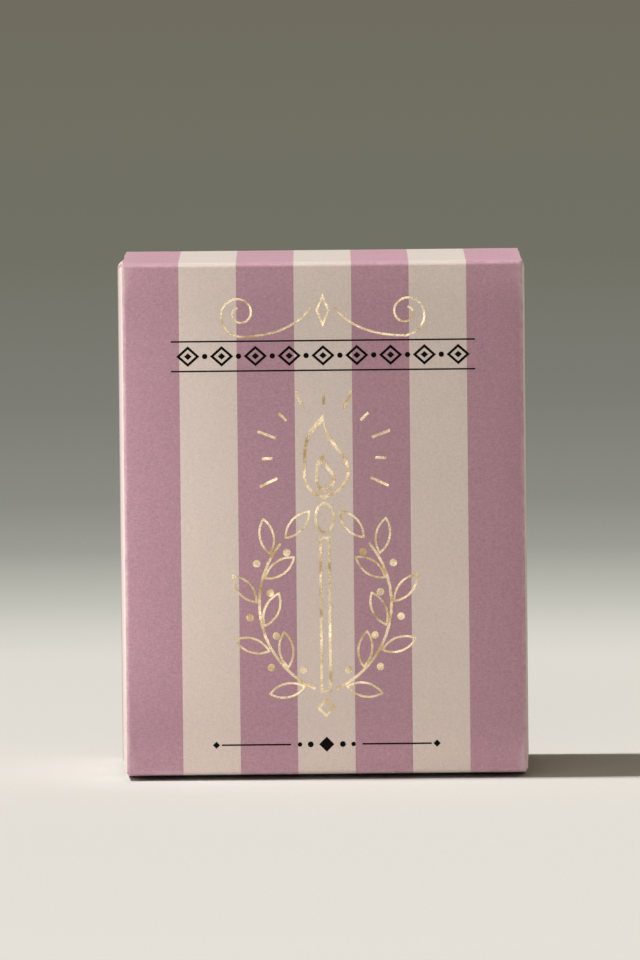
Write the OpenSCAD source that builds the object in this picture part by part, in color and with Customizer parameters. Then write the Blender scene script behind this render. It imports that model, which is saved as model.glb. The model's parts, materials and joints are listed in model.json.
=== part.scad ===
// Tuck-end folding carton of printed paperboard, closed and standing on its bottom panel.
// Millimetres, +Z up, front towards -Y, origin at the middle of the footprint on the floor.

/* [Carton] */
// Width of the front between the outer faces of its two upright creases
carton_w = 90; // [70:1:140]
// Depth from the front face to the back face
carton_d = 64.3; // [48:0.1:110]
// Height from the floor to the top of the lid
carton_h = 116; // [90:1:180]
// Thickness of the paperboard
board_t = 0.5; // [0.3:0.05:0.7]
// Outer radius of every crease
crease_r = 1; // [0.9:0.05:1.5]
// Distance that the left side panel bows out at its middle
left_bow = 1.1; // [0.3:0.1:2.5]
// Distance that the right side panel, which the glue flap stiffens, bows out at its middle
right_bow = 0.5; // [0.3:0.1:2.5]

/* [Lid and bottom] */
// Distance that each long edge of the lid lies inside the carton's width
lid_inset = 0.4; // [0.2:0.1:1.5]
// Split in the middle of the hinge crease between the lid and the front
crease_gap = 0.02; // [0.01:0.01:0.1]
// Distance that the bottom panel sags below its creases
base_sag = 1.2; // [0.3:0.1:3]
// Length of the ramp from a bottom crease down to the flat middle
ramp_len = 14; // [6:1:20]

/* [Tuck flaps] */
// Depth of the tuck flap below the lid
tuck_len = 15; // [10:1:24]
// Radius of the tuck flap's two free corners
tuck_corner_r = 9; // [3:0.5:10]
// Running gap between the tuck flap and the back panel
tuck_gap = 0.3; // [0.2:0.05:1]
// Gap between each end of the tuck flap and the glue flap
tuck_end_gap = 0.4; // [0.2:0.1:2]
// Length of the slit at each end of the tuck crease
slit_len = 9; // [4:1:16]
// Distance that the lid's rear edge reaches past the crease line at the slits
slit_lip = 0.7; // [0.3:0.05:0.8]

/* [Dust flaps] */
// Reach of a dust flap from its crease
dust_len = 37; // [15:1:37]
// Gap between a dust flap and the lid over it
dust_gap = 0.7; // [0.1:0.1:1.5]
// Relief between a dust flap and the carton's front corner
dust_relief = 0.4; // [0.3:0.1:2]
// Gap between a dust flap's rear edge and the path of the tuck flap
dust_tuck_gap = 0.5; // [0.3:0.1:2]
// Width of the straight shoulder behind the slit
shoulder_len = 8; // [3:1:12]
// Distance that the rear edge steps in past the shoulder
shoulder_step = 9; // [3:1:14]
// Distance that the front edge tapers in towards the tip
dust_taper = 3.5; // [1:0.5:8]
// Radius of the dust flap's tip corners
dust_tip_r = 5; // [2:0.5:8]

/* [Glue flap] */
// Width of the glue flap inside the right side panel
glue_w = 14; // [8:1:20]
// Slope cut off each end of the glue flap
glue_taper = 5; // [2:0.5:10]
// Distance from the dust creases to the ends of the glue flap
glue_end_gap = 1; // [0.5:0.5:5]

/* [Print] */
// Number of stripes across the front, an odd number
stripe_count = 7; // [5:2:11]
// Thickness of the printed and varnished colour
ink_t = 0.04; // [0.03:0.01:0.1]
// Thickness of the stamped foil and of the black ink
foil_t = 0.03; // [0.02:0.01:0.1]
// Width of the foil lines
foil_line = 0.62; // [0.4:0.02:1]
// Height of the sprigs' lowest point above the floor
emblem_z = 13.5; // [8:0.5:20]
// Distance from the lid down to the flourish's middle
flourish_drop = 10.8; // [8:0.2:12]
// Distance from the lid down to the upper black band's middle
upper_band_drop = 20.9; // [19.5:0.1:23]
// Distance from each end of the upper black band to the front's edge
upper_band_inset = 11; // [6:0.5:15]
// Height of the lower black band's middle above the floor
lower_band_z = 7.9; // [5:0.1:9]
// Distance from each end of the lower black band to the front's edge
lower_band_inset = 19.5; // [10:0.5:22]

/* [Hidden] */
$fn = 64;
// Facets in a full turn of the wide bow of a side panel
bow_fn = 2880;

// Faces of the carton, taken at the outside of the board
front_y = -carton_d / 2;
back_y = carton_d / 2;
side_x = carton_w / 2;
base_z = base_sag + ink_t;
lid_z = carton_h - ink_t;

// The two sides bow out by different amounts, so the sheet is moved to put its middle at x = 0
centre_x = (left_bow - right_bow) / 2;

// A side panel is an arc between its corner creases, with a radius in tenths of a millimetre.
// It meets each corner crease a hundredth inside it, so the two faces never lie in each other.
half_chord = carton_d / 2 - crease_r;
bow_step = 0.01;
function bow_r(bow) =
  let (rise = bow + bow_step)
  round(10 * (rise * rise + half_chord * half_chord) / (2 * rise)) / 10;

// The hinge lies on the outer corner line of the crease, and each half of the crease stops at its middle
crease_mid = 45;
crease_cut = crease_gap / 2 / (crease_r - board_t) * 180 / PI;

// The tuck flap's outer face runs on a circle round the hinge, and starts under a quarter-turn crease
// whose centre line lies at rear_y, in whole hundredths
swing_r = carton_d - board_t - tuck_gap;
rear_y = ceil(100 * (sqrt(swing_r * swing_r - crease_r * crease_r) - crease_r)) / 100;
tuck_w = carton_w - 4 * board_t - 2 * tuck_end_gap;
tuck_angle = asin(tuck_len / (swing_r - board_t)) + 1;
slit_x = tuck_w / 2 - slit_len;
lid_w = carton_w - 2 * lid_inset;
ramp_steps = 8;

// Dust flaps lie one board below the lid, and raw edges stop just under the lid's crease
dust_drop = board_t + dust_gap;
dust_front_y = front_y + crease_r + dust_relief;
dust_rear_y = front_y + swing_r - board_t - dust_tuck_gap;
side_lo = base_z + dust_drop + crease_r;
side_hi = lid_z - dust_drop - crease_r;
corner_rise = (crease_r - board_t) * sin(crease_mid) - 0.1;
edge_lo = base_z + crease_r - corner_rise;
edge_hi = lid_z - crease_r + corner_rise;

// Stripes run on round the corners, with a whole number of them on each side
stripe_w = carton_w / stripe_count;
side_stripes = max(1, round(carton_d / stripe_w));
side_stripe_w = carton_d / side_stripes;

// Colours as the photograph shows them
board_colour = "#E9E3D8";
pink = "#BE96A2";
cream = "#D8CABB";
gold = "#D9BE86";
black = "#1F1B1A";

function stripe_x(i) = -side_x + i * stripe_w;

// Colour of a node, which is moved so that the carton's middle is at x = 0
module coloured(c) {
  color(c)
    translate([centre_x, 0, 0])
      children();
}

// Flat 2D shapes drawn in Y and Z, and swept along X from x0 to x1
module along_x(x0, x1) {
  translate([x0, 0, 0])
    rotate([90, 0, 90])
      linear_extrude(x1 - x0)
        children();
}

// Crease along X round the line y, z, from angle a0 to a1 where 0 is +Y and 90 is +Z
module bend(x0, x1, y, z, a0, a1, r0, r1) {
  if (x1 > x0)
    translate([x0, y, z])
      rotate([90, 0, 90])
        rotate_extrude(angle = a1 - a0, start = a0)
          translate([r0, 0])
            square([r1 - r0, x1 - x0]);
}

// The sheets below lie between two offsets from the outer face of the board:
// the board itself from -board_t to 0, and its print from 0 to ink_t.

// Front panel with its halves of the lid crease and of the bottom crease
module front_sheet(x0, x1, lo, hi) {
  translate([x0, front_y - hi, base_z + crease_r])
    cube([x1 - x0, hi - lo, lid_z - base_z - 2 * crease_r]);
  bend(x0, x1, front_y + crease_r, lid_z - crease_r,
       180 - crease_mid + crease_cut, 180, crease_r + lo, crease_r + hi);
  bend(x0, x1, front_y + crease_r, base_z + crease_r,
       180, 180 + crease_mid - crease_cut, crease_r + lo, crease_r + hi);
}

// Back panel, with raw edges at its top and bottom
module back_sheet(x0, x1, lo, hi) {
  translate([x0, back_y + lo, edge_lo])
    cube([x1 - x0, hi - lo, edge_hi - edge_lo]);
}

// Upright corner crease round the line x, y
module corner_sheet(x, y, a0, a1, lo, hi) {
  translate([x, y, edge_lo])
    rotate_extrude(angle = a1 - a0, start = a0)
      translate([crease_r + lo, 0])
        square([hi - lo, edge_hi - edge_lo]);
}

// Sweep along a right side panel's bow, whose axis lies far to its left, from y0 to y1.
// The swept shape has its origin on the panel's outer face.
module bowed(bow, y0, y1) {
  r = bow_r(bow);
  reach = asin(half_chord / r) + 1;
  if (y1 > y0)
    intersection() {
      translate([side_x + bow - r, 0, 0])
        rotate_extrude(angle = 2 * reach, start = -reach, $fn = bow_fn)
          translate([r, 0])
            children();
      translate([0, y0, 0])
        cube([carton_w, y1 - y0, carton_h]);
    }
}

// Quarter of a crease from the side panel to a dust flap
module dust_crease_profile(z, lo, hi) {
  translate([-crease_r, z])
    intersection() {
      difference() {
        circle(crease_r + hi);
        circle(crease_r + lo);
      }
      translate([0, z > carton_h / 2 ? 0 : -2 * crease_r])
        square(2 * crease_r);
    }
}

// Right side panel from y0 to y1 with the creases of both dust flaps, and with raw edges beside them
module side_sheet(bow, y0, y1, lo, hi) {
  bowed(bow, y0, y1)
    translate([lo, side_lo])
      square([hi - lo, side_hi - side_lo]);
  bowed(bow, max(y0, dust_front_y), min(y1, dust_rear_y)) {
    dust_crease_profile(side_hi, lo, hi);
    dust_crease_profile(side_lo, lo, hi);
  }
  for (range = [[y0, min(y1, dust_front_y)], [max(y0, dust_rear_y), y1]])
    bowed(bow, range[0], range[1]) {
      translate([lo, side_hi])
        square([hi - lo, edge_hi - side_hi]);
      translate([lo, edge_lo])
        square([hi - lo, side_lo - edge_lo]);
    }
}

// Points of a round corner at c with radius r, from angle a0 to a1
function corner_points(c, r, a0, a1, steps = 6) =
  [for (i = [0:steps]) let (a = a0 + (a1 - a0) * i / steps) c + r * [cos(a), sin(a)]];

// Outline of a dust flap on the right side, from its crease towards the carton's middle
module dust_outline() {
  root = side_x - crease_r;
  tip = root - dust_len;
  front_tip = dust_front_y + dust_taper;
  rear_tip = dust_rear_y - shoulder_step;
  polygon(concat(
    [[root, dust_front_y]],
    [[root, dust_rear_y], [root - shoulder_len, dust_rear_y]],
    [[root - shoulder_len - shoulder_step / 2, rear_tip]],
    corner_points([tip + dust_tip_r, rear_tip - dust_tip_r], dust_tip_r, 90, 180),
    corner_points([tip + dust_tip_r, front_tip + dust_tip_r], dust_tip_r, 180, 270)
  ));
}

// Dust flap of a right side panel with its lower face at z, and the strip that follows its crease
module dust_flap(bow, z) {
  translate([0, 0, z])
    linear_extrude(board_t)
      dust_outline();
  bowed(bow, dust_front_y, dust_rear_y)
    translate([-crease_r - bow - board_t, z])
      square([bow + board_t, board_t]);
}

// Side panel with its two dust flaps, drawn for the right side
module side_panel(bow) {
  side_sheet(bow, -half_chord, half_chord, -board_t, 0);
  dust_flap(bow, lid_z - dust_drop - board_t);
  dust_flap(bow, base_z + dust_drop);
}

// Glue flap on the back panel, folded inside the right side panel and glued to it
module glue_flap() {
  lo = side_lo + glue_end_gap;
  hi = side_hi - glue_end_gap;
  free_y = half_chord - glue_w;
  intersection() {
    bowed(right_bow, free_y, half_chord)
      translate([-2 * board_t, lo])
        square([board_t, hi - lo]);
    along_x(0, carton_w)
      polygon([
        [free_y, lo + glue_taper],
        [half_chord, lo],
        [half_chord, hi],
        [free_y, hi - glue_taper]
      ]);
  }
  seam_crease(-board_t, 0);
}

// Crease from the back panel to the glue flap, one board inside the side panel
seam_x = side_x - board_t - crease_r;
module seam_crease(lo, hi) {
  corner_sheet(seam_x, back_y - crease_r, 0, 90, lo, hi);
}

// The folded sheet without its lid and bottom
module carton() {
  coloured(board_colour) {
    front_sheet(-side_x + crease_r, side_x - crease_r, -board_t, 0);
    back_sheet(-side_x + crease_r, seam_x, -board_t, 0);
    corner_sheet(side_x - crease_r, front_y + crease_r, -90, 0, -board_t, 0);
    corner_sheet(-side_x + crease_r, front_y + crease_r, 180, 270, -board_t, 0);
    corner_sheet(-side_x + crease_r, back_y - crease_r, 90, 180, -board_t, 0);
    side_panel(right_bow);
    mirror([1, 0, 0])
      side_panel(left_bow);
    glue_flap();
  }
}

// Height of the lid's outer face above its creases, for a panel that sags outwards
function panel_rise(y, sag) =
  let (u = max(0, min(1, (y - crease_r) / ramp_len, (rear_y - y) / ramp_len)))
  sag * (1 - cos(180 * u)) / 2;

function panel_stations(sag) =
  sag == 0
    ? [crease_r, rear_y]
    : concat(
        [for (i = [0:ramp_steps]) crease_r + ramp_len * i / ramp_steps],
        [for (i = [ramp_steps:-1:0]) rear_y - ramp_len * i / ramp_steps]
      );

// Closing panel with its half of the hinge crease, its rear crease between the slits
// and its edge behind the slits. The hinge is the X axis and the outside is +Z.
module closure_sheet(x0, x1, sag, lo, hi) {
  ys = panel_stations(sag);
  bend(x0, x1, crease_r, -crease_r,
       90, 180 - crease_mid - crease_cut, crease_r + lo, crease_r + hi);
  along_x(x0, x1)
    polygon(concat(
      [for (y = ys) [y, panel_rise(y, sag) + hi]],
      [for (i = [len(ys) - 1:-1:0]) [ys[i], panel_rise(ys[i], sag) + lo]]
    ));
  bend(max(x0, -slit_x), min(x1, slit_x), rear_y, -crease_r,
       0, 90, crease_r + lo, crease_r + hi);
  for (ends = [[x0, min(x1, -slit_x)], [max(x0, slit_x), x1]])
    if (ends[1] > ends[0])
      translate([ends[0], rear_y, lo])
        cube([ends[1] - ends[0], slit_lip, hi - lo]);
}

// Outline of the tuck flap in X and Z, from the end of its crease down
module tuck_outline() {
  x = tuck_w / 2 - tuck_corner_r;
  z = tuck_corner_r - tuck_len;
  polygon(concat(
    [[-tuck_w / 2, -crease_r]],
    corner_points([-x, z], tuck_corner_r, 180, 270, 8),
    corner_points([x, z], tuck_corner_r, 270, 360, 8),
    [[tuck_w / 2, -crease_r]]
  ));
}

module tuck_flap() {
  intersection() {
    bend(-tuck_w / 2, tuck_w / 2, 0, 0, -tuck_angle, 0, swing_r - board_t, swing_r);
    translate([0, swing_r + board_t, 0])
      rotate([90, 0, 0])
        linear_extrude(swing_r * (1 - cos(tuck_angle)) + 3 * board_t)
          tuck_outline();
  }
}

// Places a closure at the carton's top
module at_top() {
  translate([0, front_y, lid_z])
    children();
}

// Turns a closure over and places it at the carton's bottom
module at_bottom() {
  translate([0, front_y, base_z])
    mirror([0, 0, 1])
      children();
}

module top_lid() {
  coloured(board_colour)
    at_top() {
      closure_sheet(-lid_w / 2, lid_w / 2, 0, -board_t, 0);
      tuck_flap();
    }
}

module bottom_lid() {
  coloured(board_colour)
    at_bottom() {
      closure_sheet(-lid_w / 2, lid_w / 2, base_sag, -board_t, 0);
      tuck_flap();
    }
}

// Print of one front stripe, with half of the corner crease beside the outer ones
module front_stripe(i) {
  front_sheet(max(stripe_x(i), -side_x + crease_r),
              min(stripe_x(i + 1), side_x - crease_r), 0, ink_t);
  if (i == 0)
    corner_sheet(-side_x + crease_r, front_y + crease_r, 225, 270, 0, ink_t);
  if (i == stripe_count - 1)
    corner_sheet(side_x - crease_r, front_y + crease_r, -90, -45, 0, ink_t);
}

module back_stripe(i) {
  back_sheet(max(stripe_x(i), -side_x + crease_r), min(stripe_x(i + 1), seam_x), 0, ink_t);
  if (i == 0)
    corner_sheet(-side_x + crease_r, back_y - crease_r, 90, 135, 0, ink_t);
  if (i == stripe_count - 1)
    seam_crease(0, ink_t);
}

// Print of one stripe of a right side. At the seam its last stripe ends on the raw edge.
module side_stripe(bow, j, has_back_corner) {
  side_sheet(bow, max(front_y + j * side_stripe_w, -half_chord),
             min(front_y + (j + 1) * side_stripe_w, half_chord), 0, ink_t);
  if (j == 0)
    corner_sheet(side_x - crease_r, front_y + crease_r, -45, 0, 0, ink_t);
  if (j == side_stripes - 1 && has_back_corner)
    corner_sheet(side_x - crease_r, back_y - crease_r, 0, 45, 0, ink_t);
}

// Every second stripe round the carton, starting at the front's left edge for phase 0
module carton_stripes(phase) {
  for (i = [0:stripe_count - 1])
    if ((i + phase) % 2 == 0)
      front_stripe(i);
  for (i = [0:stripe_count - 1])
    if ((i + side_stripes + 1 + phase) % 2 == 0)
      back_stripe(i);
  for (j = [0:side_stripes - 1])
    if ((j + 1 + phase) % 2 == 0) {
      side_stripe(right_bow, j, false);
      mirror([1, 0, 0])
        side_stripe(left_bow, j, true);
    }
}

// Every second stripe of a closing panel
module closure_stripes(phase, sag) {
  for (i = [0:stripe_count - 1])
    if ((i + phase) % 2 == 0)
      closure_sheet(max(stripe_x(i), -lid_w / 2), min(stripe_x(i + 1), lid_w / 2), sag, 0, ink_t);
}

module carton_pink_stripes() {
  coloured(pink)
    carton_stripes(0);
}

module carton_cream_stripes() {
  coloured(cream)
    carton_stripes(1);
}

module lid_pink_stripes() {
  coloured(pink)
    at_top()
      closure_stripes(0, 0);
}

module lid_cream_stripes() {
  coloured(cream)
    at_top()
      closure_stripes(1, 0);
}

module base_pink_stripes() {
  coloured(pink)
    at_bottom()
      closure_stripes(0, base_sag);
}

module base_cream_stripes() {
  coloured(cream)
    at_bottom()
      closure_stripes(1, base_sag);
}

// Flat shapes in X and Z, laid on the front's print
module on_front(z) {
  translate([0, front_y - ink_t, z])
    rotate([90, 0, 0])
      linear_extrude(foil_t)
        children();
}

// The same shape on the right and on the left
module both_sides() {
  children();
  mirror([1, 0])
    children();
}

// Line of even width through a list of points
function side_points(pts, w) = [
  for (i = [0:len(pts) - 1])
    let (run = pts[min(i + 1, len(pts) - 1)] - pts[max(i - 1, 0)])
      pts[i] + w * [-run[1], run[0]] / norm(run)
];
module line_through(pts, w) {
  left = side_points(pts, w / 2);
  right = side_points(pts, -w / 2);
  polygon(concat(left, [for (i = [len(right) - 1:-1:0]) right[i]]));
}

// Leaf shape from the origin along +X, bounded by two arcs and drawn in by inset
module lens(length, width, inset) {
  r = (length * length + width * width) / (4 * width);
  intersection() {
    translate([length / 2, r - width / 2])
      circle(r - inset);
    translate([length / 2, width / 2 - r])
      circle(r - inset);
  }
}

module leaf(length, width) {
  difference() {
    lens(length, width, 0);
    lens(length, width, leaf_line);
  }
}

// Sprig of the right side: a bowed stem with leaves on alternate sides and one at its tip
stem_r = 21;
stem_centre = [-6.2, 26];
stem_from = -66;
stem_to = 40;
leaf_count = 7;
leaf_len = 8.6;
leaf_w = 3.6;
leaf_lean = 40;
leaf_phase = 0.3;
leaf_line = 0.8 * foil_line;
tip_gap = 2;
berry_r = 0.85;
berry_reach = 2.3;
berry_ahead = 8.5;
module sprig() {
  step = (stem_to - stem_from) / leaf_count;
  line_through([for (a = [stem_from:step / 2:stem_to]) stem_centre + stem_r * [cos(a), sin(a)]],
               foil_line);
  for (i = [0:leaf_count - 1]) {
    a = stem_from + step * (i + leaf_phase);
    side = i % 2 == 0 ? 1 : -1;
    translate(stem_centre + stem_r * [cos(a), sin(a)])
      rotate(a + 90 - side * leaf_lean)
        translate([foil_line, 0])
          leaf(leaf_len, leaf_w);
    translate(stem_centre + (stem_r - side * berry_reach) * [cos(a + berry_ahead), sin(a + berry_ahead)])
      circle(berry_r, $fn = 24);
  }
  translate(stem_centre + stem_r * [cos(stem_to + tip_gap), sin(stem_to + tip_gap)])
    rotate(stem_to + tip_gap + 90)
      translate([foil_line, 0])
        leaf(leaf_len, leaf_w);
}

// Flame outline that is widest low down and leans a little at its tip
flame_steps = 22;
flame_belly = 0.62;
flame_lean = 0.16;
flame_side = 1.1;
flame_foot = 1.3;
flame_tip = 2.7;
outer_flame = [10.5, 19];
inner_flame = [4.6, 8.5];
inner_flame_rise = 2.6;
function flame_edge(t, w, h, side) =
  [side * w / 2 * sin(180 * pow(t, flame_belly)) + w * flame_lean * sin(360 * t) * t, h * t];
function flame_points(w, h) = concat(
  [for (i = [0:flame_steps]) flame_edge(i / flame_steps, w, h, 1)],
  [for (i = [flame_steps - 1:-1:1]) flame_edge(i / flame_steps, w, h, -1)]
);
module flame(size) {
  difference() {
    polygon(flame_points(size[0], size[1]));
    translate([0, foil_line * flame_foot])
      polygon(flame_points(size[0] - 2 * flame_side * foil_line,
                           size[1] - (flame_foot + flame_tip) * foil_line));
  }
}

// Burning match in outline
match_w = 2.6;
match_foot = 6;
match_top = 41;
head_r = [2.3, 3.6];
module match_outline() {
  difference() {
    translate([-match_w / 2, match_foot])
      square([match_w, match_top - match_foot]);
    translate([foil_line - match_w / 2, match_foot + foil_line])
      square([match_w - 2 * foil_line, match_top - match_foot - 2 * foil_line]);
  }
  translate([0, match_top + head_r[1] + foil_line])
    difference() {
      scale([head_r[0] / head_r[1], 1])
        circle(head_r[1], $fn = 32);
      scale([(head_r[0] - foil_line) / (head_r[1] - foil_line), 1])
        circle(head_r[1] - foil_line, $fn = 32);
    }
}

// Rays round the flame, long and short by turns
ray_count = 11;
ray_r = 11.5;
ray_len = 4.4;
short_ray = 0.55;
ray_from = -25;
ray_sweep = 230;
flame_z = 59;
module rays() {
  for (i = [0:ray_count - 1])
    translate([0, flame_z])
      rotate(ray_from + ray_sweep * i / (ray_count - 1))
        translate([ray_r, -foil_line / 2])
          square([i % 2 == 0 ? ray_len : ray_len * short_ray, foil_line]);
}

module lozenge(w, h) {
  polygon([[-w / 2, 0], [0, h / 2], [w / 2, 0], [0, -h / 2]]);
}

module open_lozenge(w, h, line) {
  grow = line * norm([w, h]);
  difference() {
    lozenge(w, h);
    lozenge(w - 2 * grow / h, h - 2 * grow / w);
  }
}

// Scroll of the flourish's right half: a swept tail that curls into a spiral
fine_line = 0.8 * foil_line;
curl_centre = [18.6, -0.6];
curl_r = 5.2;
curl_turns = 1.45;
curl_shrink = 1.35;
curl_steps = 26;
tail_from = [2.6, 0.6];
tail_bend = 7.5;
tail_steps = 8;
module scroll() {
  tail_to = curl_centre + [0, -curl_r];
  tail_by = [tail_bend, tail_to[1]];
  tail = [for (i = [0:tail_steps - 1]) let (t = i / tail_steps)
    (1 - t) * (1 - t) * tail_from + 2 * t * (1 - t) * tail_by + t * t * tail_to];
  curl = [for (i = [0:curl_steps]) let (t = i / curl_steps)
    curl_centre + curl_r * exp(-curl_shrink * t)
      * [cos(-90 + 360 * curl_turns * t), sin(-90 + 360 * curl_turns * t)]];
  line_through(concat(tail, curl), fine_line);
}

// The emblem is drawn at full size and shrinks on a carton that is too low or too narrow for it
emblem_size = [50, 76];
emblem_gap = 5;
emblem_room = [carton_w - 4 * emblem_gap, lid_z - upper_band_drop - emblem_z - emblem_gap];
emblem_scale = min(1, emblem_room[0] / emblem_size[0], emblem_room[1] / emblem_size[1]);
flourish_lozenge = [3.2, 7.5];
foot_lozenge = 4.4;
foot_lozenge_z = 2.6;

module emblem() {
  match_end = match_top + 2 * head_r[1];
  both_sides()
    sprig();
  match_outline();
  translate([0, match_end + 2 * foil_line])
    flame(outer_flame);
  translate([0, match_end + 2 * foil_line + inner_flame_rise * foil_line])
    flame(inner_flame);
  rays();
  translate([0, foot_lozenge_z])
    open_lozenge(foot_lozenge, foot_lozenge, foil_line);
}

module gold_ornament() {
  coloured(gold) {
    on_front(lid_z - flourish_drop) {
      both_sides()
        scroll();
      open_lozenge(flourish_lozenge[0], flourish_lozenge[1], fine_line);
    }
    on_front(emblem_z)
      scale([emblem_scale, emblem_scale])
        emblem();
  }
}

// Upper band: open lozenges and dots between two fine rules
band_rule = 0.35;
band_h = 7;
band_pitch = 7.5;
band_lozenge = [5.2, 4.6];
band_line = 0.55;
band_core = [1.7, 1.5];
band_dot_r = 0.6;
module upper_band() {
  length = carton_w - 2 * upper_band_inset;
  count = floor(length / band_pitch);
  pitch = length / count;
  for (z = [-band_h / 2, band_h / 2 - band_rule])
    translate([-length / 2, z])
      square([length, band_rule]);
  for (i = [0:count - 1])
    translate([(i - (count - 1) / 2) * pitch, 0]) {
      open_lozenge(band_lozenge[0], band_lozenge[1], band_line);
      lozenge(band_core[0], band_core[1]);
    }
  for (i = [1:count - 1])
    translate([(i - count / 2) * pitch, 0])
      circle(band_dot_r, $fn = 24);
}

// Lower band: a lozenge, dots that grow smaller, and a rule to each side that ends in a small lozenge
mid_lozenge = 3.4;
end_lozenge = 1.6;
dot_x = [3.6, 6];
dot_r = [0.65, 0.5];
rule_from = 8;
rule_gap = 0.4;
module lower_band() {
  half = carton_w / 2 - lower_band_inset;
  lozenge(mid_lozenge, mid_lozenge);
  both_sides() {
    for (i = [0, 1])
      translate([dot_x[i], 0])
        circle(dot_r[i], $fn = 24);
    translate([rule_from, -band_rule / 2])
      square([half - end_lozenge - rule_gap - rule_from, band_rule]);
    translate([half - end_lozenge / 2, 0])
      lozenge(end_lozenge, end_lozenge);
  }
}

module black_ornament() {
  coloured(black) {
    on_front(lid_z - upper_band_drop)
      upper_band();
    on_front(lower_band_z)
      lower_band();
  }
}

carton();
top_lid();
bottom_lid();
carton_pink_stripes();
carton_cream_stripes();
gold_ornament();
black_ornament();
lid_pink_stripes();
lid_cream_stripes();
base_pink_stripes();
base_cream_stripes();
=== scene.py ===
# %% [markdown]
# # A striped folding carton
#
# The real object is one sheet of coated paperboard, printed with pink and cream stripes, stamped
# with gold foil, then creased, folded and closed with tuck flaps. The packed model already holds
# every panel, flap and stripe at its true size, so this lesson keeps those shapes and spends its
# effort on what a camera sees next: the finish of the print, the foil, the raw board and the light.

import json
import math

import bmesh
import bpy
from mathutils import Matrix, Vector


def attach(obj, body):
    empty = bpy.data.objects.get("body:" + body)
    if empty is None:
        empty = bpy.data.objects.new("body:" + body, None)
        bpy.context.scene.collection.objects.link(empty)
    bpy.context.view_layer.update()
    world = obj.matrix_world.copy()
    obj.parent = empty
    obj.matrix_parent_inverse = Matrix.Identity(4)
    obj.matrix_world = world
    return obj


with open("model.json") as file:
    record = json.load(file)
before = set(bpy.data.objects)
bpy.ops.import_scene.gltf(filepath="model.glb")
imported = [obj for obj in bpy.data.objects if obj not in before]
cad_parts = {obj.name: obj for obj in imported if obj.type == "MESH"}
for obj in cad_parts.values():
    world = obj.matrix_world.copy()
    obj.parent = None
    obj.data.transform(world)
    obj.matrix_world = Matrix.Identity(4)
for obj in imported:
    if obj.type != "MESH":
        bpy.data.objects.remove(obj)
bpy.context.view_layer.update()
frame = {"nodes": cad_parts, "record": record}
nodes = frame["nodes"]
MM = 0.001

# %% [markdown]
# The camera comes first, because every later choice is judged through it. The carton was
# photographed from far away with a long lens, a little above its lid, so its upright edges stay
# almost parallel and only a thin band of the lid shows. A long lens in Blender is a large focal
# length. The small roll copies the slight turn of the picture.

# %% Place the camera
CAMERA_PLACE = Vector((-0.00064, -2.98219, 0.2424))
TILT_DOWN = math.radians(3.3995)
ROLL = math.radians(-0.567)
LONG_LENS = 495.6
camera_data = bpy.data.cameras.new("long_lens")
camera_data.lens = LONG_LENS
camera_data.sensor_width = 36
camera_data.clip_start, camera_data.clip_end = 0.1, 100
camera = bpy.data.objects.new("camera", camera_data)
bpy.context.scene.collection.objects.link(camera)
level = Matrix.Rotation(math.radians(90) - TILT_DOWN, 4, "X")
camera.matrix_world = Matrix.Translation(CAMERA_PLACE) @ level @ Matrix.Rotation(ROLL, 4, "Z")
bpy.context.scene.camera = camera

# %% [markdown]
# A procedural finish is a small network of nodes. Writing the networks by hand gets long, so this
# helper adds one node, sets its inputs and returns it. An input is called by its name, or by its
# place as i0, i1 or i2 where two inputs share a name. A value that is a socket is linked, and any
# other value is typed into the input. The world is a network too, so the helper takes either owner.

# %% A helper for node networks


class Network:
    """Adds nodes to one material or world and links them."""

    def __init__(self, owner):
        owner.use_nodes = True
        self.owner, self.tree = owner, owner.node_tree
        self.tree.nodes.clear()

    def add(self, kind, settings=None, **inputs):
        node = self.tree.nodes.new("ShaderNode" + kind)
        for key, value in (settings or {}).items():
            setattr(node, key, value)
        for key, value in inputs.items():
            socket = int(key[1:]) if key[1:].isdigit() else key.replace("_", " ")
            self.put(node.inputs[socket], value)
        return node

    def put(self, socket, value):
        if isinstance(value, bpy.types.NodeSocket):
            self.tree.links.new(value, socket)
        else:
            socket.default_value = value

    def math(self, operation, a, b=0.0):
        return self.add("Math", {"operation": operation}, i0=a, i1=b).outputs[0]

    def mix(self, amount, a, b):
        node = self.add("Mix", {"data_type": "RGBA"})
        for socket, value in ((node.inputs[0], amount), (node.inputs[6], a), (node.inputs[7], b)):
            self.put(socket, value)
        return node.outputs[2]

    def shaded(self, colour, shade):
        """A colour made darker or brighter by a factor that varies over the surface."""
        return self.add("HueSaturation", Color=(*colour, 1), Value=shade).outputs[0]

    def place(self, scale=(1, 1, 1)):
        coords = self.add("TexCoord").outputs["Object"]
        return self.add("Mapping", Vector=coords, Scale=scale).outputs[0]

    def noise(self, scale=(1, 1, 1), size=1.0, detail=3.0, rough=0.5):
        return self.add("TexNoise", Vector=self.place(scale), Scale=size, Detail=detail,
                        Roughness=rough).outputs[0]

    def span(self, value, lo, hi, out_lo, out_hi, smooth=False):
        kind = {"interpolation_type": "SMOOTHSTEP"} if smooth else {}
        return self.add("MapRange", kind, Value=value, From_Min=lo, From_Max=hi,
                        To_Min=out_lo, To_Max=out_hi).outputs[0]

    def bump(self, height, depth, below=None):
        node = self.add("Bump", Height=height, Distance=depth, Strength=1.0)
        if below is not None:
            self.put(node.inputs["Normal"], below)
        return node.outputs[0]

    def end(self, shader, kind="OutputMaterial"):
        self.add(kind, Surface=shader)
        return self.owner


print("a network can", ", ".join(name for name in vars(Network) if not name.startswith("_")))

# %% [markdown]
# The nodes of the packed model come with plain materials. Dressing a node swaps its material for a
# finish and leaves its mesh alone.

# %% A helper that dresses nodes


def dress(material, *names):
    for name in names:
        slots = nodes[name].data.materials
        slots.clear()
        slots.append(material)
        print(name, "wears", material.name)


print(len(nodes), "nodes to dress:", ", ".join(nodes))

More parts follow.
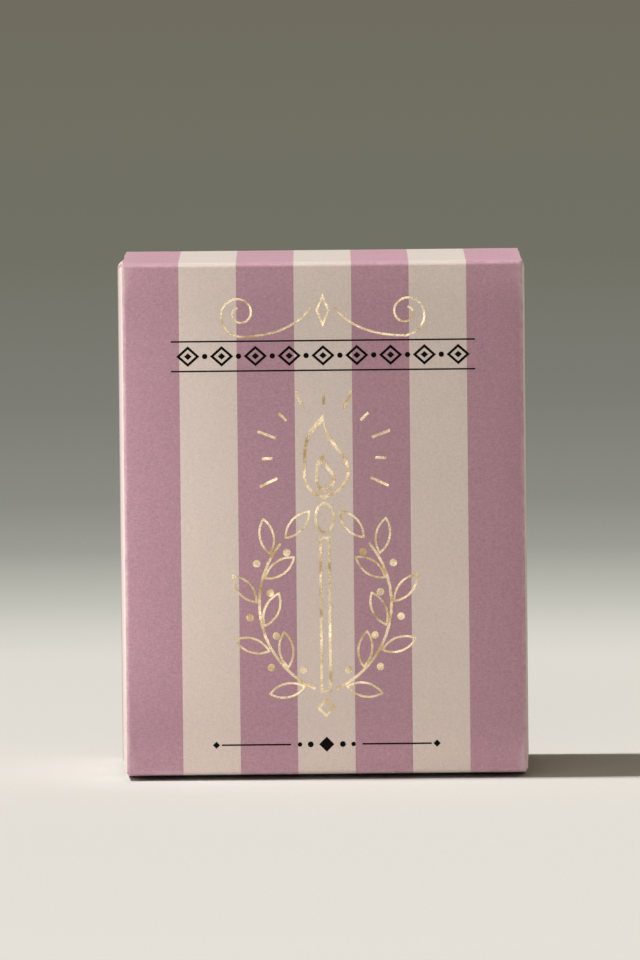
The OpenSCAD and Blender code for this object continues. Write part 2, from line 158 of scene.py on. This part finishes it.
# %% [markdown]
# ## The print
#
# The carton's board has a fine linen grain under its matt coat: short threads that run up and
# across. Long thin noise gives such threads. One copy is stretched upright and one is stretched
# level, so that they cross each other like a weave. On the lid those two show no threads, so a
# third copy, stretched along the width alone, gives it some. The same threads drive the bump and a
# small change of colour, because ink sits darker in the valleys.

# %% Threads of the linen grain
THREAD, THREAD_RUN = 5200.0, 1300.0


def threads(net, fine=THREAD, run=THREAD_RUN):
    upright = net.noise((fine, fine, run), detail=2.0, rough=0.55)
    level_ones = net.noise((run, run, fine), detail=2.0, rough=0.55)
    on_lid = net.noise((run, fine, fine), detail=2.0, rough=0.55)
    total = net.math("ADD", net.math("ADD", upright, level_ones), on_lid)
    return net.math("MULTIPLY", total, 1 / 3)


print("threads are about", round(1 / THREAD / MM, 2), "mm apart and", round(1 / THREAD_RUN / MM, 1),
      "mm long")

# %% [markdown]
# The panels are not quite flat either. The front swells softly between its creases, and that is
# far too shallow to model as a shape, yet it bends the light. A smooth height over the whole panel
# goes into the bump below the threads. It is a wide dome, with a flatter one added across the width,
# so the panel curves a little everywhere and most of all beside its upright creases. The half sizes
# below reach from the carton's middle to its outer faces at the creases.

# %% The swell of a panel
MIDDLE_X = 0.0003
PANEL_MIDDLE_Z = 0.0586
HALF_WIDTH, HALF_HEIGHT, HALF_DEPTH = 0.045, 0.0574, 0.03215
WIDE_DOME, FLAT_DOME = 4.0, 16.0
WIDE_SHARE, FLAT_SHARE = 0.6, 0.4


def from_middle(net):
    """Distances from the middle of the carton along its three axes."""
    axes = net.add("SeparateXYZ", Vector=net.place()).outputs
    x = net.math("ABSOLUTE", net.math("SUBTRACT", axes[0], MIDDLE_X))
    z = net.math("ABSOLUTE", net.math("SUBTRACT", axes[2], PANEL_MIDDLE_Z))
    return x, net.math("ABSOLUTE", axes[1]), z


def rise(net, distance, half, steepness):
    """From 1 in the middle of a panel to 0 at its crease. A steeper one stays up for longer."""
    drop = net.math("POWER", net.math("DIVIDE", distance, half), steepness)
    return net.math("MAXIMUM", net.math("SUBTRACT", 1.0, drop), 0.0)


def swell(net, x, z):
    wide = net.math("MULTIPLY", rise(net, x, HALF_WIDTH, WIDE_DOME), WIDE_SHARE)
    flat = net.math("MULTIPLY", rise(net, x, HALF_WIDTH, FLAT_DOME), FLAT_SHARE)
    return net.math("MULTIPLY", net.math("ADD", wide, flat), rise(net, z, HALF_HEIGHT, WIDE_DOME))


print("the front ends", round((PANEL_MIDDLE_Z + HALF_HEIGHT) / MM, 1), "mm above the floor")

# %% [markdown]
# Where the sheet is creased, its coat stretches and shows paler, most of all at the corners, and the
# same paler colour is also a painted highlight for the light that the rounded creases catch. How near a
# point is to each of the carton's faces says how near it is to a crease: at a crease it is near two of
# them at once. The upright creases are painted paler and wider towards their ends, a painted highlight
# where the corners of the sheet catch the light. The mask is broken up by noise, since no two
# millimetres wear alike.

# %% Wear and painted highlight along the creases
CREASE_REACH, CORNER_REACH, CORNER_RUN = 0.0014, 0.0022, 0.010
WEAR_AND_HIGHLIGHT_PATCHES = 420.0


def nearness(net, half, distance, reach):
    """From 1 on a face to 0 where the face is a reach away."""
    gap = net.math("SUBTRACT", half, distance)
    return net.span(net.math("DIVIDE", gap, reach), 0.0, 1.0, 1.0, 0.0, smooth=True)


# The crease mask: partly real wear, partly a painted highlight where the rounded creases and their ends
# catch the light.
def crease_wear_and_highlight(net, x, y, z):
    ends = net.span(z, HALF_HEIGHT - CORNER_RUN, HALF_HEIGHT, 0.0, CORNER_REACH, smooth=True)
    near_x = nearness(net, HALF_WIDTH, x, net.math("ADD", CREASE_REACH, ends))
    near_y = nearness(net, HALF_DEPTH, y, CREASE_REACH)
    near_z = nearness(net, HALF_HEIGHT, z, CREASE_REACH)
    edge = net.math("MULTIPLY", near_x, near_y)
    for near in (near_x, near_y):
        edge = net.math("MAXIMUM", edge, net.math("MULTIPLY", near, near_z))
    blots = net.noise(size=WEAR_AND_HIGHLIGHT_PATCHES, rough=0.65)
    patchy = net.span(blots, 0.38, 0.62, 0.25, 1.0, smooth=True)
    return net.math("MULTIPLY", edge, patchy)


print("creases wear", round(CREASE_REACH / MM, 1), "mm wide, and the upright ones",
      round((CREASE_REACH + CORNER_REACH) / MM, 1), "mm at their ends")

# %% [markdown]
# The finish puts all of that together. Threads and slow clouds vary the ink, the crease wear and
# painted highlight show a paler coat, and three bumps lie on each other: the swell, the clouds and the
# threads. The panels are also painted a little paler towards their top and bottom creases, over a
# centimetre, by one soft factor on the colour: painted light for the bowed panel, which catches more
# light from above near its top and more bounce from the floor near its bottom. Sheen gives the matt
# coat its soft veil at low angles.

# %% Make the printed finish
PAINTED_LIGHT_RUN = 0.012
WEAR_AND_HIGHLIGHT_SHARE = 0.8
FIBRES, CLOUDS = 6500.0, 55.0
SWELL_DEPTH, CLOUD_DEPTH, THREAD_DEPTH = 0.0015, 0.00012, 0.00004


def printed_finish(name, colour, worn_and_lit, contrast, painted_light=0.0):
    net = Network(bpy.data.materials.new(name))
    x, y, z = from_middle(net)
    weave = threads(net)
    fibres = net.noise(size=FIBRES, detail=2.0, rough=0.6)
    clouds = net.noise(size=CLOUDS)
    shade = net.math("MULTIPLY", net.span(weave, 0.35, 0.65, 1 - contrast, 1 + contrast),
                     net.span(clouds, 0.3, 0.7, 0.985, 1.015))
    # Painted light: the colour grows paler towards the top and bottom creases, where the bowed panel
    # catches more light from above and more floor bounce.
    painted_light_factor = net.span(z, HALF_HEIGHT - PAINTED_LIGHT_RUN, HALF_HEIGHT, 1.0, 1.0 + painted_light, smooth=True)
    tone = net.shaded(colour, net.math("MULTIPLY", shade, painted_light_factor))
    wear_and_highlight = crease_wear_and_highlight(net, x, y, z)
    # Mix in the paler crease colour, which is partly wear and partly a painted highlight.
    coat = net.mix(net.math("MULTIPLY", wear_and_highlight, WEAR_AND_HIGHLIGHT_SHARE), tone, (*worn_and_lit, 1))
    rub = net.span(fibres, 0.3, 0.7, -0.035, 0.035)
    grained = net.math("ADD", net.span(weave, 0.3, 0.7, 0.50, 0.60), rub)
    rough = net.math("ADD", grained, net.math("MULTIPLY", wear_and_highlight, 0.1))
    slow = net.bump(swell(net, x, z), SWELL_DEPTH)
    ripple = net.bump(clouds, CLOUD_DEPTH, slow)
    grain = net.bump(weave, THREAD_DEPTH, ripple)
    shader = net.add("BsdfPrincipled", Base_Color=coat, Roughness=rough, Normal=grain)
    shader.inputs["Specular IOR Level"].default_value = 0.4
    shader.inputs["Sheen Weight"].default_value = 0.28
    shader.inputs["Sheen Roughness"].default_value = 0.4
    return net.end(shader.outputs[0])


# Each print colour with its paler crease colour, which is partly wear and partly a painted highlight.
PINK, WORN_AND_LIT_PINK = (0.483, 0.270, 0.338), (0.69, 0.49, 0.54)
CREAM, WORN_AND_LIT_CREAM = (0.753, 0.632, 0.578), (0.75, 0.66, 0.61)
PINK_CONTRAST, CREAM_CONTRAST = 0.19, 0.09
# The last number says how much paler each panel is painted near its top and bottom creases, as painted
# light.
pink_print = printed_finish("matt_pink_print", PINK, WORN_AND_LIT_PINK, PINK_CONTRAST, painted_light=0.15)
cream_print = printed_finish("matt_cream_print", CREAM, WORN_AND_LIT_CREAM, CREAM_CONTRAST, painted_light=0.08)
dress(pink_print, "carton_pink_stripes", "base_pink_stripes")
dress(cream_print, "carton_cream_stripes", "base_cream_stripes")

# %% [markdown]
# The lid wears the same finish with colours of its own: its pink is a little paler than the panels' and
# its cream a little less warm. They are lit copies of the print colours, a painted highlight for the
# glare of the lid's matt coat seen at a low angle.

# %% Dress the lid
# Lit copies of the print colours, a painted highlight on the lid.
LIT_LID_PINK, LIT_LID_WORN_PINK = (0.575, 0.304, 0.398), (0.58, 0.35, 0.43)
LIT_LID_CREAM, LIT_LID_WORN_CREAM = (0.735, 0.645, 0.602), (0.69, 0.60, 0.56)
lit_lid_pink_print = printed_finish("lit_lid_pink_print", LIT_LID_PINK, LIT_LID_WORN_PINK, PINK_CONTRAST)
lit_lid_cream_print = printed_finish("lit_lid_cream_print", LIT_LID_CREAM, LIT_LID_WORN_CREAM, CREAM_CONTRAST)
dress(lit_lid_pink_print, "lid_pink_stripes")
dress(lit_lid_cream_print, "lid_cream_stripes")

# %% [markdown]
# ## The folded corners
#
# At both ends of a hinge crease the sheet turns two ways at once. The board is pressed into a tiny
# dome there, which closes the end of the cut and catches the light. A dome could be cut from a
# sphere, but a bent strip is closer to the real sheet: its profile is a piece of a ring, and a
# quarter spin carries it round the upright crease, from the front panel to the side panel. The
# profile starts right beside the corner's cut edge and stops just short of the split in the middle
# of the hinge crease, so that the closure can still turn.

# %% Model a corner fold
CREASE_RADIUS, FOLD_INSIDE = 1.0 * MM, 0.6 * MM
FOLD_FOOT = 0.262 * MM
FOLD_TOP = math.radians(43.5)
ARC_STEPS, SPIN_STEPS = 6, 10


def ring_arc(radius):
    """Points of a ring from the height of the fold's foot up to its top."""
    foot = math.asin(FOLD_FOOT / radius)
    angles = [foot + (FOLD_TOP - foot) * i / ARC_STEPS for i in range(ARC_STEPS + 1)]
    return [(radius * math.cos(a), radius * math.sin(a)) for a in angles]


def corner_fold(name, side, hinge):
    up = 1 if hinge[2] > PANEL_MIDDLE_Z else -1
    middle = Vector((MIDDLE_X + side * (HALF_WIDTH - CREASE_RADIUS), hinge[1] + CREASE_RADIUS,
                     hinge[2] - up * CREASE_RADIUS))
    profile = ring_arc(CREASE_RADIUS) + ring_arc(FOLD_INSIDE)[::-1]
    shape = bmesh.new()
    face = shape.faces.new([shape.verts.new((0.0, -out, up * height)) for out, height in profile])
    bmesh.ops.spin(shape, geom=[face, *face.edges, *face.verts], cent=(0, 0, 0), axis=(0, 0, 1),
                   angle=side * math.radians(90), steps=SPIN_STEPS, use_duplicate=False)
    bmesh.ops.recalc_face_normals(shape, faces=shape.faces)
    bmesh.ops.translate(shape, verts=shape.verts, vec=middle)
    open_edges = sum(not edge.is_manifold for edge in shape.edges)
    mesh = bpy.data.meshes.new(name)
    shape.to_mesh(mesh)
    shape.free()
    mesh.materials.append(pink_print)
    fold = bpy.data.objects.new(name, mesh)
    bpy.context.scene.collection.objects.link(fold)
    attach(fold, "carton")
    print(name, len(mesh.polygons), "faces,", open_edges, "open edges")


print("a fold's wall is", round((CREASE_RADIUS - FOLD_INSIDE) / MM, 2), "mm thick")

# %% [markdown]
# The lid and the bottom are both hinged at the front, so each end of both hinges gets a fold. The
# packed record says where the hinges are, and the folds stay with the carton when a closure opens.

# %% Place one fold at each front corner
hinges = {joint["name"]: joint["pos_m"] for joint in frame["record"]["behaviour"]["joints"]}
for end, hinge in (("top", hinges["lid_hinge"]), ("bottom", hinges["bottom_hinge"])):
    for hand, side in (("left", -1), ("right", 1)):
        corner_fold(f"corner_fold_{end}_{hand}", side, hinge)

# %% [markdown]
# ## The raw board
#
# Inside, and at every cut edge, the sheet is uncoated: off-white pulp with short darker and lighter
# fibres. Noise at three sizes gives the soft cloudiness of pulp, the long fibres and the flecks.

# %% Make the raw board finish
PULP, FLECKS = 240.0, 1500.0
BOARD_FIBRE, BOARD_FIBRE_RUN = 3600.0, 700.0
BOARD_DEPTH = 0.00008


def board_finish(name, colour, fleck_colour):
    net = Network(bpy.data.materials.new(name))
    pulp = net.noise(size=PULP, detail=4.0, rough=0.6)
    fibres = threads(net, BOARD_FIBRE, BOARD_FIBRE_RUN)
    flecks = net.noise(size=FLECKS, detail=1.0, rough=0.4)
    fleck = net.span(flecks, 0.68, 0.74, 0.0, 0.35, smooth=True)
    shade = net.math("MULTIPLY", net.span(pulp, 0.3, 0.7, 0.96, 1.03),
                     net.span(fibres, 0.3, 0.7, 0.93, 1.05))
    speckled = net.mix(fleck, net.shaded(colour, shade), (*fleck_colour, 1))
    height = net.math("ADD", net.math("MULTIPLY", pulp, 0.6), fibres)
    shader = net.add("BsdfPrincipled", Base_Color=speckled, Normal=net.bump(height, BOARD_DEPTH),
                     Roughness=net.span(fibres, 0.3, 0.7, 0.82, 0.92))
    shader.inputs["Specular IOR Level"].default_value = 0.25
    return net.end(shader.outputs[0])


BOARD, FLECK = (0.80, 0.76, 0.69), (0.42, 0.36, 0.29)
raw_board = board_finish("raw_board", BOARD, FLECK)
dress(raw_board, "carton", "top_lid", "bottom_lid")

# %% [markdown]
# ## The foil
#
# Hot-stamped foil is a mirror-thin metal layer pressed into the board, so it follows the linen grain
# and breaks its reflection into bright and dark patches. A metallic shader with the board's threads in
# its bump does part of that, and its colour is painted in bright and dark patches on the same noise as
# its bump, a painted reflection. Where the stamp pressed less, the foil is thin and shows browner.

# %% Make the foil
FOIL_PATCHES, FOIL_THIN, FOIL_WAVES = 260.0, 1900.0, 95.0
FOIL_WAVE_DEPTH, FOIL_PATCH_DEPTH, FOIL_THREAD_DEPTH = 0.0009, 0.00015, 0.00005


def foil_finish(name, light, deep):
    net = Network(bpy.data.materials.new(name))
    patches = net.noise(size=FOIL_PATCHES, rough=0.6)
    thin = net.span(net.noise(size=FOIL_THIN, detail=2.0, rough=0.6), 0.30, 0.48, 1.0, 0.0, smooth=True)
    weave = threads(net)
    # Painted reflection: the colour switches between bright and dark patches.
    painted_reflection = net.span(patches, 0.35, 0.55, 0.0, 1.0, smooth=True)
    tone = net.mix(painted_reflection, (*deep, 1), (*light, 1))
    worn_and_lit = net.mix(net.math("MULTIPLY", thin, 0.5), tone, (*deep, 1))
    slow = net.bump(net.noise(size=FOIL_WAVES, detail=2.0), FOIL_WAVE_DEPTH)
    waves = net.bump(patches, FOIL_PATCH_DEPTH, slow)
    shader = net.add("BsdfPrincipled", Base_Color=worn_and_lit, Roughness=net.span(weave, 0.3, 0.7, 0.22, 0.34),
                     Normal=net.bump(weave, FOIL_THREAD_DEPTH, waves))
    shader.inputs["Metallic"].default_value = 1.0
    return net.end(shader.outputs[0])


# The light and deep colours are the bright and dark patches of a painted reflection; the deep one also
# shows where the foil is thin.
FOIL_LIGHT, FOIL_DEEP = (0.94, 0.765, 0.53), (0.64, 0.455, 0.24)
dress(foil_finish("stamped_foil", FOIL_LIGHT, FOIL_DEEP), "gold_ornament")

# %% [markdown]
# The black ink is a thick matt film, so dark that only its grain catches any light. The threads
# change both its tone and its roughness.

# %% Make the black ink


def ink_finish(name, colour):
    net = Network(bpy.data.materials.new(name))
    weave = threads(net)
    tone = net.shaded(colour, net.span(weave, 0.3, 0.7, 0.7, 1.4))
    shader = net.add("BsdfPrincipled", Base_Color=tone, Roughness=net.span(weave, 0.3, 0.7, 0.60, 0.75),
                     Normal=net.bump(weave, THREAD_DEPTH))
    shader.inputs["Specular IOR Level"].default_value = 0.08
    return net.end(shader.outputs[0])


INK = (0.0035, 0.003, 0.003)
dress(ink_finish("matt_black_ink", INK), "black_ornament")

# %% [markdown]
# ## The floor
#
# The carton stands on a wide pale floor that fades to a grey green far behind it. A real studio
# does that with a long sheet that the lamps don't reach. Here the floor is one large disc whose
# colour depends on the distance from a point just before the carton, so it looks nearly alike from
# every side. The pale part ends about half a metre out, and the rest darkens over several metres.
# From below the floor is clear, so the carton's underside can be looked at.

# %% Make the floor
FLOOR_RADIUS, FLOOR_SIDES = 30.0, 96
FADE_MIDDLE, FADE_REACH = (0.0, -0.05, 0.0), 7.0
FADE = ((0, (0.617, 0.604, 0.584)), (0.4, (0.614, 0.603, 0.580)), (0.5, (0.546, 0.547, 0.524)),
        (0.62, (0.437, 0.443, 0.415)), (0.82, (0.284, 0.292, 0.275)), (1.05, (0.218, 0.226, 0.210)),
        (1.6, (0.175, 0.180, 0.166)), (2.8, (0.144, 0.146, 0.122)), (FADE_REACH, (0.139, 0.136, 0.107)))
DUST = 900.0


def floor_finish(name):
    net = Network(bpy.data.materials.new(name))
    away = net.add("VectorMath", {"operation": "DISTANCE"}, i0=net.place(), i1=FADE_MIDDLE).outputs[1]
    ramp = net.add("ValToRGB", Fac=net.math("DIVIDE", away, FADE_REACH))
    stops = ramp.color_ramp.elements
    while len(stops) < len(FADE):
        stops.new(0.5)
    for stop, (distance, colour) in zip(stops, FADE):
        stop.position = distance / FADE_REACH
        stop.color = (*colour, 1)
    dust = net.span(net.noise(size=DUST, detail=2.0), 0.3, 0.7, 0.985, 1.015)
    tone = net.add("HueSaturation", Color=ramp.outputs[0], Value=dust)
    top = net.add("BsdfDiffuse", Color=tone.outputs[0])
    clear = net.add("BsdfTransparent")
    below = net.add("NewGeometry").outputs["Backfacing"]
    sides = net.add("MixShader", Fac=below, i1=top.outputs[0], i2=clear.outputs[0])
    return net.end(sides.outputs[0])


floor_mesh = bpy.data.meshes.new("floor")
shape = bmesh.new()
bmesh.ops.create_circle(shape, cap_ends=True, segments=FLOOR_SIDES, radius=FLOOR_RADIUS)
shape.to_mesh(floor_mesh)
shape.free()
floor_mesh.materials.append(floor_finish("pale_floor"))
floor = bpy.data.objects.new("floor", floor_mesh)
bpy.context.scene.collection.objects.link(floor)
print("floor is", 2 * FLOOR_RADIUS, "m across")

# %% [markdown]
# ## The light
#
# One high lamp from the left does most of the work. It stands two degrees behind the plane of the
# front panel, so it lights the lid and the left side, misses the front and throws the shadow to the
# right. The front itself is lit by the bright floor, by a wide soft panel nearer than the camera and
# by a narrow upright lamp a few centimetres from its left edge, which gives the slow fade from left
# to right. A warm panel at the right, like a reflector card, opens the shadow and the right side.

# %% Place the lamps


def aim(obj, place, target):
    turn = (Vector(target) - Vector(place)).to_track_quat("-Z", "Y")
    obj.matrix_world = Matrix.Translation(place) @ turn.to_matrix().to_4x4()


def lamp(name, kind, colour, energy, place, target):
    data = bpy.data.lights.new(name, kind)
    data.energy, data.color = energy, colour
    obj = bpy.data.objects.new(name, data)
    bpy.context.scene.collection.objects.link(obj)
    aim(obj, place, target)
    obj.visible_camera = False
    return data


def soft_panel(name, colour, energy, place, target, size):
    data = lamp(name, "AREA", colour, energy, place, target)
    data.shape = "RECTANGLE"
    data.size, data.size_y = size
    print(name, "is", size[0], "by", size[1], "m")
    return data


KEY_HEIGHT, KEY_BEHIND = math.radians(65), math.radians(1.8)
key_from = Vector((-math.cos(KEY_HEIGHT) * math.cos(KEY_BEHIND),
                   math.cos(KEY_HEIGHT) * math.sin(KEY_BEHIND),
                   math.sin(KEY_HEIGHT)))
key = lamp("key", "SUN", (1.0, 0.985, 0.96), 3.5, key_from * 2, (0, 0, 0))
key.angle = math.radians(5)
print("key lamp stands", round(math.degrees(KEY_HEIGHT)), "degrees high")

soft_panel("fill", (1.0, 0.985, 0.965), 6.95, (-0.5, -1.6, 0.5), (0, 0, 0.06), (1.2, 0.9))
near_lamp = soft_panel("near_lamp", (1.0, 0.98, 0.97), 0.0075, (-0.071, -0.054, 0.065),
                       (-0.010, -0.032, 0.067), (0.014, 0.11))
near_lamp.spread = math.radians(100)
soft_panel("card", (1.0, 0.87, 0.62), 0.22, (0.50, 0.03, 0.22), (0.10, 0.0, 0.0), (0.5, 0.3))

# %% [markdown]
# The world adds a little warm light from everywhere. What the camera and the foil see beyond the
# floor is another colour, the grey green of the backdrop, and Light Path tells the rays apart.

# %% Set the world and the view
SOFT_LIGHT, SOFT_STRENGTH = (1.0, 0.90, 0.68, 1), 0.145
BACKDROP = (0.165, 0.160, 0.124, 1)
studio = Network(bpy.data.worlds.new("studio"))
rays = studio.add("LightPath").outputs
shown = rays["Is Camera Ray"]
for kind in ("Is Glossy Ray", "Is Transmission Ray"):
    shown = studio.math("MAXIMUM", shown, rays[kind])
soft = studio.add("Background", Color=SOFT_LIGHT, Strength=SOFT_STRENGTH)
seen = studio.add("Background", Color=BACKDROP)
both = studio.add("MixShader", Fac=shown, i1=soft.outputs[0], i2=seen.outputs[0])
bpy.context.scene.world = studio.end(both.outputs[0], "OutputWorld")
bpy.context.scene.view_settings.view_transform = "Standard"
print("the world gives", SOFT_STRENGTH, "from every side")

# %% [markdown]
